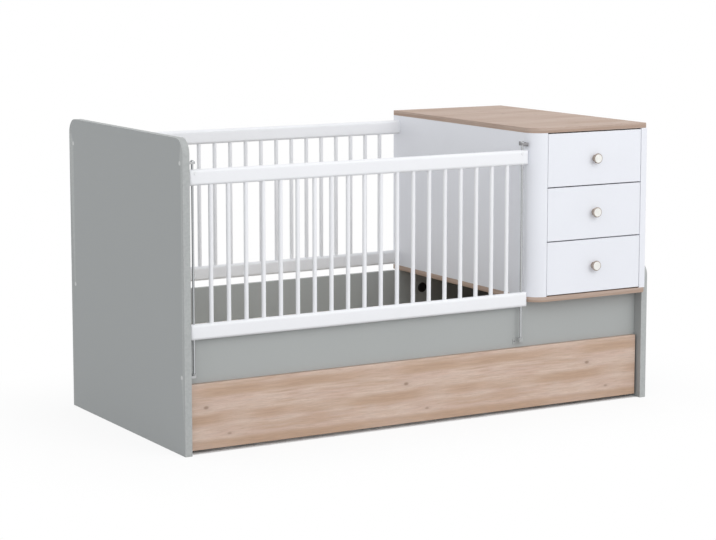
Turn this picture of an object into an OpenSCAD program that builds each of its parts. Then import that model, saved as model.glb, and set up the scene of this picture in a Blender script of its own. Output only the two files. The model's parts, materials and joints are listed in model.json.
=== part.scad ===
// Crib with an attached changer chest.
// A drop-side guard runs on two steel rods, the chest has three drawers,
// and a second bed pulls out from below on wheels.
// X runs along the bed from the tall end to the chest, Y from front to back, Z up.
// The origin is under the middle of the whole object, on the floor.

/* [Bed frame] */
// Overall length, over both end panels
bed_l = 1860; // [1780:5:2000]
// Depth of the end panels, front to back
bed_w = 924; // [880:2:980]
// Height of the tall end panel
head_h = 1033; // [1025:1:1120]
// Height of the low end panel
foot_h = 500; // [450:5:600]
// Thickness of the end panels
end_t = 25; // [20:1:32]
// Radius of the end panels' top corners
end_corner_r = 50; // [20:2:80]
// Thickness of the long side boards
side_t = 18; // [16:1:22]
// Height of the long side boards
side_h = 180; // [150:5:182]
// Top edge of the side boards above the floor
side_top = 393; // [388:1:410]
// Front edge of the end panels to the face of the front side board
front_board_set = 40; // [40:1:44]
// Back edge of the end panels to the face of the back side board
back_board_set = 27; // [24:1:36]

/* [Mattress base] */
// Top of the ledgers above the floor
ledger_top = 250; // [246:1:262]
// Width of a ledger
ledger_w = 24; // [20:1:30]
// Height of a ledger
ledger_h = 30; // [24:1:32]
// Number of base slats
base_slats_n = 14; // [10:1:16]
// Width of a base slat
base_slat_w = 70; // [50:2:80]
// Thickness of a base slat
base_slat_t = 12; // [10:1:16]

/* [Guards] */
// Height of a guard, over both rails
guard_h = 554; // [540:1:560]
// Height of a guard rail
rail_h = 52; // [48:1:60]
// Thickness of a guard rail
rail_t = 24; // [22:1:26]
// Rounding of a rail's long edges
rail_r = 10; // [4:1:11]
// Rounding of the front rails' ends, seen from the front
rail_end_r = 5; // [3:1:12]
// Rounding of the front rails' ends, seen from above
rail_plan_r = 11; // [4:1:11]
// Underside of the closed front guard above the floor
guard_z = 377.5; // [372:0.5:380]
// Underside of the back guard above the floor
back_guard_z = 418.5; // [416:0.5:425]
// Front edge of the end panels to the middle of the front guard
guard_set = 22; // [20:1:24]
// Back edge of the end panels to the middle of the back guard
back_guard_set = 34; // [30:1:38]
// Diameter of a guard slat
slat_d = 14.5; // [12:0.5:18]
// Number of slats in a guard
slats_n = 19; // [17:1:20]
// Depth of a slat's socket in the rail
slat_socket = 14; // [8:1:20]

/* [Drop side] */
// Diameter of a guide rod
rod_d = 8; // [6:0.5:8]
// Rod's centre to the panel beside it
rod_set = 19.5; // [18:0.5:22]
// Outer diameter of a guide bush
bush_d = 11; // [10.5:0.5:11.5]
// Radial clearance of the rod in its bush
bush_gap = 0.3; // [0.2:0.05:0.4]
// Top of the lower rod brackets above the floor
lower_bracket_top = 262; // [258:1:266]
// Thickness of a rod bracket
bracket_t = 8; // [6:1:10]
// Width of a rod bracket
bracket_w = 18; // [16:1:22]
// Diameter of a rod's domed head
rod_head_d = 13; // [11:1:16]
// Height of a rod's domed head
rod_head_h = 5; // [4:0.5:6]
// Height of a rubber bumper
bumper_h = 5; // [3:0.5:8]
// Diameter of a rubber bumper
bumper_d = 16; // [14:1:18]
// Diameter of a release button
button_d = 11; // [8:0.5:12]
// A release button's centre below the top of its rail
button_drop = 12.5; // [12:0.5:26]
// A release button's centre inwards of its rod
button_in = 6; // [0:0.5:8]

/* [Changer chest] */
// Width of the chest
chest_w = 495; // [450:5:520]
// How far the chest stands proud of the end panels' front edge
chest_proud = 17; // [10:1:25]
// Radius of the chest's rounded front corner
post_r = 62; // [55:1:70]
// Thickness of the chest's boards
board_t = 18; // [16:1:20]
// Thickness of the chest's right side
right_side_t = 25; // [18:1:28]
// Top of the changer above the floor
changer_top_z = 1008; // [1000:1:1020]
// Radius of the changer top's right front corner
changer_small_r = 10; // [4:1:20]
// Thickness of the chest's back panel
chest_back_t = 8; // [4:1:12]

/* [Drawers] */
// Number of drawers: each has its own pieces below
drawers_n = 3; // [3:1:3]
// Gap above and below a drawer front
front_gap_z = 4; // [2:0.5:6]
// Gap beside a drawer front
front_gap_x = 2; // [1.5:0.5:4]
// Height of a drawer's side boards
drawer_side_h = 120; // [90:5:140]
// Thickness of a drawer's side boards
drawer_side_t = 12; // [10:1:15]
// Thickness of a drawer's bottom
drawer_bottom_t = 4; // [3:0.5:6]
// Length of the runners and of the drawer box
runner_l = 500; // [400:10:600]
// Height of a runner
runner_h = 45; // [35:1:50]
// Width of a runner pair, wall to drawer box
runner_w = 13; // [12:0.5:15]
// Sheet thickness of a runner
runner_t = 1.2; // [1:0.1:1.5]
// Diameter of a knob
knob_d = 36; // [30:1:40]
// Length of a knob's turned body
knob_l = 20; // [17:1:26]
// Diameter of the white face let into a knob
knob_face_d = 30; // [24:1:32]
// Thickness of a knob's white face
knob_face_t = 4; // [3:0.5:6]
// How far a knob's white face stands out of its rim
knob_face_proud = 1; // [0.5:0.1:2]

/* [Pull-out bed] */
// Height of the pull-out front
trundle_h = 219; // [210:1:225]
// Gap under the pull-out front
trundle_gap_z = 12; // [8:1:16]
// Gap at each end of the pull-out front
trundle_gap_x = 8; // [5:1:12]
// Thickness of the pull-out front
trundle_front_t = 18; // [16:1:18]
// Height of the pull-out bed's side boards
trundle_side_h = 115; // [90:5:120]
// Thickness of the pull-out bed's side and back boards
trundle_side_t = 16; // [14:1:18]
// Depth of the pull-out bed behind its front
trundle_l = 820; // [780:5:835]
// Diameter of a wheel
wheel_d = 40; // [34:1:40]
// Width of a wheel
wheel_w = 18; // [14:1:22]
// Diameter of a wheel's axle
axle_d = 6; // [5:0.5:8]

/* [Hidden] */
$fn = 64;

// Small clearances
eps = 0.01;               // cutters reach this far past a face
socket_gap = 0.05;        // slat in its socket, cap in its recess
axle_gap = 0.05;          // wheel on its axle
floor_gap = 0.3;          // wheel above the floor at rest
slide_gap = 0.5;          // flat faces that pass each other

// Planes of the bed frame
x_head = -bed_l / 2;
x_head_in = x_head + end_t;
x_foot = bed_l / 2;
x_foot_in = x_foot - end_t;
knob_reach = knob_l + knob_face_proud;
y_edge = -(bed_w - chest_proud - knob_reach) / 2;
y_back_edge = y_edge + bed_w;
y_front_board = y_edge + front_board_set;
y_back_board = y_back_edge - back_board_set;
side_z = side_top - side_h;
inner_y0 = y_front_board + side_t;
inner_y1 = y_back_board - side_t;

// Chest
x_chest = x_foot_in - chest_w;
y_chest = y_edge - chest_proud;
chest_z = side_top + board_t;
chest_top = changer_top_z - board_t;
post_x = x_chest + post_r;
post_y = y_chest + post_r;
post_in_r = post_r - board_t;
bay_x0 = post_x;
bay_x1 = x_foot_in - right_side_t;
bay_w = bay_x1 - bay_x0;
chest_back_set = 8;
y_chest_back = y_back_edge - chest_back_set;
partition_y = post_y - sqrt(post_in_r * post_in_r - board_t * board_t);

// Guards
y_guard = y_edge + guard_set;
y_back_guard = y_back_edge - back_guard_set;
rod_x = [x_head_in + rod_set, x_chest - rod_set];
rail_end_gap = 3;
x_rail0 = x_head_in + rail_end_gap;
x_rail1 = x_chest + 1;
slat_pitch = (rod_x[1] - rod_x[0]) / (slats_n + 1);
slat_x = [for (i = [1:slats_n]) rod_x[0] + i * slat_pitch];
slat_end_gap = 0.5;

// Rods and brackets
upper_bracket_gap = 18;
upper_bracket_z = guard_z + guard_h + upper_bracket_gap;
upper_bracket_top = upper_bracket_z + bracket_t;
lower_bracket_z = lower_bracket_top - bracket_t;
drop_travel = guard_z - lower_bracket_top - bumper_h - slide_gap;
bracket_nose = bracket_w / 2;
flange_t = 2.5;
flange_w = 24;
flange_drop = 6;
angle_t = 2.5;
angle_w = 44;
angle_h = 18;

// Release buttons
button_t = 3.2;
button_proud = 1.2;
button_travel = 2.5;
button_pocket = button_t - button_proud + button_travel + slide_gap;
button_gap = 0.3;
button_x = [rod_x[0] + button_in, rod_x[1] - button_in];
button_z = guard_z + guard_h - button_drop;
y_rail_face = y_guard - rail_t / 2;

// Drawers
front_w = bay_w - 2 * front_gap_x;
front_h = (chest_top - chest_z - (drawers_n + 1) * front_gap_z) / drawers_n;
front_pitch = front_h + front_gap_z;
y_front_back = y_chest + board_t;
box_x0 = bay_x0 + runner_w;
box_x1 = bay_x1 - runner_w;
box_lift = 24;
groove_z = 10;
groove_depth = 6;
groove_gap = 0.1;
runner_lift = 18;
runner_lap = 0.76;
runner_inset = 5;
knob_x = (bay_x0 + bay_x1) / 2;
function front_z(n) = chest_z + front_gap_z + (drawers_n - n) * front_pitch;

// Pull-out bed: its front closes against the front side board
y_trundle_back = y_front_board;
y_trundle = y_trundle_back - trundle_front_t;
y_trundle_end = y_trundle_back + trundle_l;
trundle_side_gap = 25;
trundle_x0 = x_head_in + trundle_side_gap;
trundle_x1 = x_foot_in - trundle_side_gap;
axle_z = wheel_d / 2 + floor_gap;
fork_plate_t = 3;
fork_plate_gap = 2;
fork_plate_l = 64;
fork_cheek_t = 2;
fork_cheek_gap = 1;
fork_tip_r = 9;
fork_neck_l = 40;
trundle_side_z = wheel_d + floor_gap + fork_plate_gap + fork_plate_t;
trundle_ledger = 20;
trundle_ledger_lift = 8;
trundle_slat_t = 10;
trundle_slats_n = 14;
trundle_slat_w = 70;
wheel_inset = 75;
wheel_x = [trundle_x0 + trundle_side_t / 2, trundle_x1 - trundle_side_t / 2];
wheel_y = [y_trundle_back + wheel_inset, y_trundle_end - wheel_inset];
wheel_tread_r = 4;
wheel_hub_d = 16;
wheel_dish = 3;

// Fittings
cap_d = 14;
cap_t = 2;
cover_d = 38;
cover_t = 4;
cover_x = x_chest + 104;
cover_z = side_top - 76;
back_cap_y = y_back_guard;

// Colours
grey = [0.66, 0.67, 0.66];
white = [0.93, 0.94, 0.96];
back_white = [0.89, 0.90, 0.92];
oak = [0.78, 0.69, 0.61];
pine = [0.86, 0.76, 0.60];
steel = [0.55, 0.56, 0.58];
black = [0.08, 0.08, 0.08];
nylon = [0.85, 0.85, 0.83];

// ---- Shared shapes ----

// A flat board between two opposite corners
module board(a, b) {
  translate(a) cube(b - a);
}

// A rectangle with four round corners, in 2D
module round_rect(w, h, r) {
  translate([r, 0]) square([w - 2 * r, h]);
  translate([0, r]) square([w, h - 2 * r]);
  for (x = [r, w - r], y = [r, h - r]) translate([x, y]) circle(r);
}

// Turns a 2D shape drawn in Y and Z into a solid along X
module along_x(x, l) {
  translate([x, 0, 0]) rotate([90, 0, 90]) linear_extrude(l) children();
}

// Turns a 2D shape drawn in X and Z into a solid along Y, from y towards the back
module along_y(y, l) {
  translate([0, y + l, 0]) rotate([90, 0, 0]) linear_extrude(l) children();
}

// Outline of the changer top and the platform: large round corner at the left, small one at the right
module chest_outline() {
  l = y_back_edge - y_chest;
  translate([x_chest, post_y]) square([chest_w, l - post_r]);
  translate([post_x, y_chest]) square([chest_w - post_r - changer_small_r, post_r + eps]);
  translate([post_x, post_y]) circle(post_r, $fn = 128);
  translate([x_foot_in - changer_small_r, y_chest + changer_small_r])
    circle(changer_small_r);
  translate([x_foot_in - 2 * changer_small_r, y_chest + changer_small_r])
    square([2 * changer_small_r, post_r]);
}

// ---- Bed frame ----

module end_panel(x, h) {
  along_x(x, end_t) translate([y_edge, 0]) {
    square([bed_w, h - end_corner_r]);
    translate([end_corner_r, 0]) square([bed_w - 2 * end_corner_r, h]);
    for (y = [end_corner_r, bed_w - end_corner_r])
      translate([y, h - end_corner_r]) circle(end_corner_r, $fn = 128);
  }
}

// Where the bolts of the rod brackets and of the back guard pass the tall end panel
cap_places = [
  [y_guard, upper_bracket_z + bracket_t / 2],
  [y_guard, lower_bracket_z + bracket_t / 2],
  [back_cap_y, back_guard_z + guard_h - rail_h / 2],
  [back_cap_y, back_guard_z + rail_h / 2]
];

module left_end_panel() {
  color(grey) difference() {
    end_panel(x_head, head_h);
    for (p = cap_places)
      translate([x_head - eps, p[0], p[1]]) rotate([0, 90, 0])
        cylinder(d = cap_d + 2 * socket_gap, h = cap_t + eps);
  }
}

module right_end_panel() {
  color(grey) end_panel(x_foot_in, foot_h);
}

module screw_caps() {
  color(nylon) for (p = cap_places)
    translate([x_head, p[0], p[1]]) rotate([0, 90, 0]) cylinder(d = cap_d, h = cap_t);
}

module front_side_board() {
  color(grey) board([x_head_in, y_front_board, side_z], [x_foot_in, inner_y0, side_top]);
}

module back_side_board() {
  color(grey) board([x_head_in, inner_y1, side_z], [x_foot_in, y_back_board, side_top]);
}

// Round cover on the inner face of the back board, under the chest
module cover_cap() {
  color(black) translate([cover_x, inner_y1, cover_z]) rotate([90, 0, 0]) {
    cylinder(d = cover_d, h = cover_t / 2);
    cylinder(d = cover_d - cover_t, h = cover_t);
  }
}

module base_ledgers() {
  z0 = ledger_top - ledger_h;
  color(pine) {
    board([x_head_in, inner_y0, z0], [x_foot_in, inner_y0 + ledger_w, ledger_top]);
    board([x_head_in, inner_y1 - ledger_w, z0], [x_foot_in, inner_y1, ledger_top]);
  }
}

module base_slats() {
  end_gap = 2;
  room = x_foot_in - x_head_in;
  pitch = room / base_slats_n;
  color(pine) for (i = [0:base_slats_n - 1])
    translate([x_head_in + (i + 0.5) * pitch - base_slat_w / 2, 0, ledger_top])
      along_y(inner_y0 + end_gap, inner_y1 - inner_y0 - 2 * end_gap)
        round_rect(base_slat_w, base_slat_t, base_slat_t / 3);
}

// ---- Guards ----

// A rail with rounded long edges, its underside at z
module rail_bar(x0, x1, y, z) {
  along_x(x0, x1 - x0) translate([y - rail_t / 2, z]) round_rect(rail_t, rail_h, rail_r);
}

// A rail of the drop side, whose ends are rounded as well
module drop_rail_bar(z) {
  l = x_rail1 - x_rail0;
  intersection() {
    rail_bar(x_rail0, x_rail1, y_guard, z);
    along_y(y_guard - rail_t, 2 * rail_t) translate([x_rail0, z]) round_rect(l, rail_h, rail_end_r);
    translate([x_rail0, y_guard - rail_t / 2, z]) linear_extrude(rail_h) round_rect(l, rail_t, rail_plan_r);
  }
}

// The row of slat sockets whose lower end is at height z
module slat_sockets(y, z) {
  for (x = slat_x)
    translate([x, y, z]) cylinder(d = slat_d + 2 * socket_gap, h = slat_socket + eps);
}

module slat_row(y, z) {
  z0 = z + rail_h - slat_socket + slat_end_gap;
  z1 = z + guard_h - rail_h + slat_socket - slat_end_gap;
  for (x = slat_x) translate([x, y, z0]) cylinder(d = slat_d, h = z1 - z0, $fn = 32);
}

// Sockets in the underside of the top rail of a guard that starts at height z
module top_sockets(y, z) {
  slat_sockets(y, z + guard_h - rail_h - eps);
}

// Sockets in the upper side of its bottom rail
module bottom_sockets(y, z) {
  slat_sockets(y, z + rail_h - slat_socket);
}

// Bores for the two guide bushes, right through a rail
module bush_bores(z) {
  for (x = rod_x)
    translate([x, y_guard, z - eps]) cylinder(d = bush_d + 2 * socket_gap, h = rail_h + 2 * eps);
}

module back_guard_top_rail() {
  color(back_white) difference() {
    rail_bar(x_head_in, x_chest, y_back_guard, back_guard_z + guard_h - rail_h);
    top_sockets(y_back_guard, back_guard_z);
  }
}

module back_guard_bottom_rail() {
  color(back_white) difference() {
    rail_bar(x_head_in, x_chest, y_back_guard, back_guard_z);
    bottom_sockets(y_back_guard, back_guard_z);
  }
}

module back_guard_slats() {
  color(back_white) slat_row(y_back_guard, back_guard_z);
}

module guard_top_rail() {
  color(white) difference() {
    drop_rail_bar(guard_z + guard_h - rail_h);
    top_sockets(y_guard, guard_z);
    bush_bores(guard_z + guard_h - rail_h);
    for (x = button_x)
      translate([x, y_rail_face + button_pocket, button_z]) rotate([90, 0, 0])
        cylinder(d = button_d + 2 * button_gap, h = button_pocket + eps);
  }
}

module guard_bottom_rail() {
  color(white) difference() {
    drop_rail_bar(guard_z);
    bottom_sockets(y_guard, guard_z);
    bush_bores(guard_z);
  }
}

module guard_slats() {
  color(white) slat_row(y_guard, guard_z);
}

module guide_bushes() {
  color(nylon) for (x = rod_x, z = [guard_z, guard_z + guard_h - rail_h])
    translate([x, y_guard, z]) difference() {
      cylinder(d = bush_d, h = rail_h);
      translate([0, 0, -eps]) cylinder(d = rod_d + 2 * bush_gap, h = rail_h + 2 * eps);
    }
}

// Crowned button in its pocket, in front of the rod and a little inwards
module release_button(x) {
  crown = 0.8;
  color(nylon) translate([x, y_rail_face - button_proud + button_t, button_z]) rotate([90, 0, 0])
    rotate_extrude() {
      square([button_d / 2, button_t - crown]);
      square([button_d / 2 - crown, button_t]);
      translate([button_d / 2 - crown, button_t - crown]) intersection() {
        circle(crown, $fn = 32);
        square(crown);
      }
    }
}

module left_release_button() {
  release_button(button_x[0]);
}

module right_release_button() {
  release_button(button_x[1]);
}

// ---- Guide rods ----

// Each rod hangs by its domed head in the upper bracket and ends level with the lower one
module guide_rods() {
  tip = 1;
  h = upper_bracket_top - lower_bracket_z;
  dome_r = (rod_head_d * rod_head_d / 4 + rod_head_h * rod_head_h) / (2 * rod_head_h);
  color(steel) for (x = rod_x) translate([x, y_guard, lower_bracket_z]) {
    cylinder(d1 = rod_d - 2 * tip, d2 = rod_d, h = tip);
    translate([0, 0, tip]) cylinder(d = rod_d, h = h - tip);
    translate([0, 0, h]) rotate_extrude() intersection() {
      translate([0, rod_head_h - dome_r]) circle(dome_r, $fn = 96);
      square([rod_head_d / 2, rod_head_h]);
    }
  }
}

// Flat eye that reaches from the wall at x_wall round the rod at x, its underside at z
module rod_eye(x, x_wall, z) {
  translate([0, 0, z]) linear_extrude(bracket_t) difference() {
    union() {
      translate([min(x, x_wall), y_guard - bracket_nose]) square([abs(x - x_wall), bracket_w]);
      translate([x, y_guard]) circle(bracket_nose);
    }
    translate([x, y_guard]) circle(d = rod_d);
  }
}

module left_rod_brackets() {
  color(steel) for (z = [lower_bracket_z, upper_bracket_z]) rod_eye(rod_x[0], x_head_in, z);
}

// This bracket has a flange that runs back past the rounded corner onto the chest's flat side
module right_upper_bracket() {
  color(steel) {
    rod_eye(rod_x[1], x_chest, upper_bracket_z);
    board([x_chest - flange_t, y_guard - bracket_nose, upper_bracket_z - flange_drop],
          [x_chest, post_y + flange_w, upper_bracket_top]);
  }
}

// This bracket is an angle on the face of the front side board
module right_lower_bracket() {
  x = rod_x[1];
  screw_d = 4.5;
  screw_set = 6;
  color(steel) difference() {
    union() {
      translate([0, 0, lower_bracket_z]) linear_extrude(bracket_t) {
        translate([x - bracket_nose, y_guard]) square([bracket_w, y_front_board - y_guard]);
        translate([x, y_guard]) circle(bracket_nose);
      }
      board([x - angle_w / 2, y_front_board - angle_t, lower_bracket_top - angle_h],
            [x + angle_w / 2, y_front_board, lower_bracket_top]);
    }
    translate([x, y_guard, lower_bracket_z - eps]) cylinder(d = rod_d, h = bracket_t + 2 * eps);
    for (s = [-1, 1])
      translate([x + s * (angle_w / 2 - screw_set), y_front_board - angle_t - eps, lower_bracket_top - angle_h / 2])
        rotate([-90, 0, 0]) cylinder(d = screw_d, h = angle_t + 2 * eps);
  }
}

module rod_bumpers() {
  color(black) for (x = rod_x) translate([x, y_guard, lower_bracket_top]) difference() {
    union() {
      cylinder(d = bumper_d, h = bumper_h - 1);
      cylinder(d = bumper_d - 2, h = bumper_h);
    }
    translate([0, 0, -eps]) cylinder(d = rod_d, h = bumper_h + 2 * eps);
  }
}

// ---- Changer chest ----

module chest_platform() {
  color(oak) translate([0, 0, side_top]) linear_extrude(board_t) chest_outline();
}

module changer_top() {
  color(oak) translate([0, 0, chest_top]) linear_extrude(board_t) chest_outline();
}

module chest_left_side() {
  color(white) board([x_chest, post_y, chest_z], [x_chest + board_t, y_back_edge, chest_top]);
}

// Quarter-round shell between the left side and the drawers
module chest_corner_post() {
  color(white) translate([post_x, post_y, chest_z]) linear_extrude(chest_top - chest_z) intersection() {
    difference() {
      circle(post_r, $fn = 128);
      circle(post_in_r, $fn = 128);
    }
    translate([-post_r, -post_r]) square(post_r);
  }
}

// Upright behind the post that carries the left runners
module chest_partition() {
  color(white) board([post_x - board_t, partition_y, chest_z], [post_x, y_chest_back - chest_back_t, chest_top]);
}

module chest_right_side() {
  color(white) board([bay_x1, y_chest, chest_z], [x_foot_in, y_back_edge, chest_top]);
}

module chest_back_panel() {
  color(white) board([x_chest + board_t, y_chest_back - chest_back_t, chest_z], [bay_x1, y_chest_back, chest_top]);
}

// Cross-section of the wall member of a runner, its web on the plane x = 0
module wall_member() {
  reach = runner_w * runner_lap;
  square([runner_t, runner_h]);
  square([reach, runner_t]);
  translate([0, runner_h - runner_t]) square([reach, runner_t]);
}

// Cross-section of the drawer member, its web on the plane x = runner_w
module drawer_member() {
  reach = runner_w * runner_lap;
  h = runner_h - 2 * runner_inset;
  translate([0, runner_inset]) {
    translate([runner_w - runner_t, 0]) square([runner_t, h]);
    translate([runner_w - reach, 0]) square([reach, runner_t]);
    translate([runner_w - reach, h - runner_t]) square([reach, runner_t]);
  }
}

// A pair of runner members for drawer n, mirrored left and right
module runner_pair(n) {
  z = front_z(n) + box_lift + runner_lift;
  for (s = [0, 1])
    translate([s == 0 ? bay_x0 : bay_x1, 0, z]) mirror([s, 0, 0])
      along_y(y_front_back, runner_l) children();
}

module fixed_runners() {
  color(steel) for (n = [1:drawers_n]) runner_pair(n) wall_member();
}

// ---- Drawers ----

module drawer_front(n) {
  color(white)
    board([bay_x0 + front_gap_x, y_chest, front_z(n)], [bay_x0 + front_gap_x + front_w, y_front_back, front_z(n) + front_h]);
}

// Two side boards and a back, grooved for the bottom
module drawer_box(n) {
  z0 = front_z(n) + box_lift;
  z1 = z0 + drawer_side_h;
  y1 = y_front_back + runner_l;
  g = drawer_bottom_t + 2 * groove_gap;
  color(white) difference() {
    union() {
      for (x = [box_x0, box_x1 - drawer_side_t])
        board([x, y_front_back, z0], [x + drawer_side_t, y1, z1]);
      board([box_x0 + drawer_side_t, y1 - drawer_side_t, z0], [box_x1 - drawer_side_t, y1, z1]);
    }
    board([box_x0 + drawer_side_t - groove_depth, y_front_back - eps, z0 + groove_z - groove_gap],
          [box_x1 - drawer_side_t + groove_depth, y1 - drawer_side_t + groove_depth, z0 + groove_z - groove_gap + g]);
  }
}

module drawer_bottom(n) {
  z = front_z(n) + box_lift + groove_z;
  y1 = y_front_back + runner_l - drawer_side_t + groove_depth;
  in = drawer_side_t - groove_depth + groove_gap;
  color(white) board([box_x0 + in, y_front_back, z], [box_x1 - in, y1 - groove_gap, z + drawer_bottom_t]);
}

module drawer_runners(n) {
  color(steel) runner_pair(n) drawer_member();
}

// Places a turned piece on the drawer front, its axis pointing to the front
module on_front(n) {
  translate([knob_x, y_chest, front_z(n) + front_h / 2]) rotate([90, 0, 0]) children();
}

// Turned wooden body: foot, cove and rim, with a recess for the white face
module knob_neck(n) {
  cove_r = knob_d * 0.236;
  cove_z = knob_l * 0.325;
  rim_r = 1.5;
  recess = knob_face_t - knob_face_proud;
  color(oak) on_front(n) rotate_extrude() difference() {
    union() {
      square([knob_d / 2, knob_l - rim_r]);
      square([knob_d / 2 - rim_r, knob_l]);
      translate([knob_d / 2 - rim_r, knob_l - rim_r]) circle(rim_r, $fn = 48);
    }
    translate([knob_d / 2, cove_z]) circle(cove_r, $fn = 96);
    translate([0, knob_l - recess]) square([knob_face_d / 2 + socket_gap, recess + rim_r]);
  }
}

// White face with a softened rim, let into the knob
module knob_cap(n) {
  soft_r = knob_face_proud * 0.8;
  r = knob_face_d / 2;
  color(white) on_front(n) translate([0, 0, knob_l + knob_face_proud - knob_face_t]) rotate_extrude() {
    square([r - soft_r, knob_face_t]);
    square([r, knob_face_t - soft_r]);
    translate([r - soft_r, knob_face_t - soft_r]) intersection() {
      circle(soft_r, $fn = 48);
      square(soft_r);
    }
  }
}

module drawer_1_front() { drawer_front(1); }
module drawer_1_box() { drawer_box(1); }
module drawer_1_bottom() { drawer_bottom(1); }
module drawer_1_runners() { drawer_runners(1); }
module drawer_1_knob_neck() { knob_neck(1); }
module drawer_1_knob_cap() { knob_cap(1); }
module drawer_2_front() { drawer_front(2); }
module drawer_2_box() { drawer_box(2); }
module drawer_2_bottom() { drawer_bottom(2); }
module drawer_2_runners() { drawer_runners(2); }
module drawer_2_knob_neck() { knob_neck(2); }
module drawer_2_knob_cap() { knob_cap(2); }
module drawer_3_front() { drawer_front(3); }
module drawer_3_box() { drawer_box(3); }
module drawer_3_bottom() { drawer_bottom(3); }
module drawer_3_runners() { drawer_runners(3); }
module drawer_3_knob_neck() { knob_neck(3); }
module drawer_3_knob_cap() { knob_cap(3); }

// ---- Pull-out bed ----

module trundle_front() {
  color(oak)
    board([x_head_in + trundle_gap_x, y_trundle, trundle_gap_z],
          [x_foot_in - trundle_gap_x, y_trundle_back, trundle_gap_z + trundle_h]);
}

module trundle_sides() {
  z1 = trundle_side_z + trundle_side_h;
  color(pine) for (x = [trundle_x0, trundle_x1 - trundle_side_t])
    board([x, y_trundle_back, trundle_side_z], [x + trundle_side_t, y_trundle_end, z1]);
}

module trundle_back() {
  color(pine)
    board([trundle_x0 + trundle_side_t, y_trundle_end - trundle_side_t, trundle_side_z],
          [trundle_x1 - trundle_side_t, y_trundle_end, trundle_side_z + trundle_side_h]);
}

module trundle_ledgers() {
  z0 = trundle_side_z + trundle_ledger_lift;
  x0 = trundle_x0 + trundle_side_t;
  x1 = trundle_x1 - trundle_side_t;
  color(pine) for (y = [y_trundle_back, y_trundle_end - trundle_side_t - trundle_ledger])
    board([x0, y, z0], [x1, y + trundle_ledger, z0 + trundle_ledger]);
}

module trundle_slats() {
  end_gap = 2;
  x0 = trundle_x0 + trundle_side_t;
  x1 = trundle_x1 - trundle_side_t;
  pitch = (x1 - x0) / trundle_slats_n;
  l = trundle_l - trundle_side_t - 2 * end_gap;
  color(pine) for (i = [0:trundle_slats_n - 1])
    translate([x0 + (i + 0.5) * pitch - trundle_slat_w / 2, 0, trundle_side_z + trundle_ledger_lift + trundle_ledger])
      along_y(y_trundle_back + end_gap, l) round_rect(trundle_slat_w, trundle_slat_t, trundle_slat_t / 3);
}

// Top plate with two tapered cheeks round the wheel
module wheel_fork(x, y) {
  gap = wheel_w + 2 * fork_cheek_gap;
  plate_z = trundle_side_z - fork_plate_t;
  plate_w = gap + 2 * fork_cheek_t;
  difference() {
    union() {
      board([x - plate_w / 2, y - fork_plate_l / 2, plate_z], [x + plate_w / 2, y + fork_plate_l / 2, trundle_side_z]);
      for (s = [-1, 1])
        along_x(x + s * (gap / 2 + fork_cheek_t / 2) - fork_cheek_t / 2, fork_cheek_t) {
          translate([y, axle_z]) circle(fork_tip_r);
          polygon([[y - fork_tip_r, axle_z], [y + fork_tip_r, axle_z],
                   [y + fork_neck_l / 2, plate_z + eps], [y - fork_neck_l / 2, plate_z + eps]]);
        }
    }
    translate([x - plate_w, y, axle_z]) rotate([0, 90, 0]) cylinder(d = axle_d, h = 2 * plate_w);
  }
}

module wheel_forks() {
  color(steel) for (x = wheel_x, y = wheel_y) wheel_fork(x, y);
}

module wheel_axles() {
  l = wheel_w + 2 * fork_cheek_gap + 2 * fork_cheek_t;
  color(steel) for (x = wheel_x, y = wheel_y)
    translate([x - l / 2, y, axle_z]) rotate([0, 90, 0]) cylinder(d = axle_d, h = l);
}

// Wheel with a rounded tread, a dished face on both sides and a raised hub
module wheel(x, y) {
  r = wheel_d / 2;
  color(black) translate([x - wheel_w / 2, y, axle_z]) rotate([0, 90, 0]) rotate_extrude() difference() {
    union() {
      square([r - wheel_tread_r, wheel_w]);
      translate([0, wheel_tread_r]) square([r, wheel_w - 2 * wheel_tread_r]);
      for (z = [wheel_tread_r, wheel_w - wheel_tread_r])
        translate([r - wheel_tread_r, z]) circle(wheel_tread_r, $fn = 48);
    }
    translate([-eps, -eps]) square([axle_d / 2 + axle_gap + eps, wheel_w + 2 * eps]);
    for (z = [-eps, wheel_w - wheel_dish])
      translate([wheel_hub_d / 2, z]) square([r - 1.5 * wheel_tread_r - wheel_hub_d / 2, wheel_dish + eps]);
  }
}

module front_left_wheel() { wheel(wheel_x[0], wheel_y[0]); }
module front_right_wheel() { wheel(wheel_x[1], wheel_y[0]); }
module back_left_wheel() { wheel(wheel_x[0], wheel_y[1]); }
module back_right_wheel() { wheel(wheel_x[1], wheel_y[1]); }

left_end_panel();
right_end_panel();
front_side_board();
back_side_board();
cover_cap();
screw_caps();
base_ledgers();
base_slats();
back_guard_top_rail();
back_guard_bottom_rail();
back_guard_slats();
guide_rods();
left_rod_brackets();
right_upper_bracket();
right_lower_bracket();
rod_bumpers();
guard_top_rail();
guard_bottom_rail();
guard_slats();
guide_bushes();
left_release_button();
right_release_button();
chest_platform();
chest_left_side();
chest_corner_post();
chest_partition();
chest_right_side();
chest_back_panel();
changer_top();
fixed_runners();
drawer_1_front();
drawer_1_box();
drawer_1_bottom();
drawer_1_runners();
drawer_1_knob_neck();
drawer_1_knob_cap();
drawer_2_front();
drawer_2_box();
drawer_2_bottom();
drawer_2_runners();
drawer_2_knob_neck();
drawer_2_knob_cap();
drawer_3_front();
drawer_3_box();
drawer_3_bottom();
drawer_3_runners();
drawer_3_knob_neck();
drawer_3_knob_cap();
trundle_front();
trundle_sides();
trundle_back();
trundle_ledgers();
trundle_slats();
wheel_forks();
wheel_axles();
front_left_wheel();
front_right_wheel();
back_left_wheel();
back_right_wheel();
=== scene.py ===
"""Finishes the crib with its changer chest, drop side, drawers and pull-out bed."""

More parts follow.
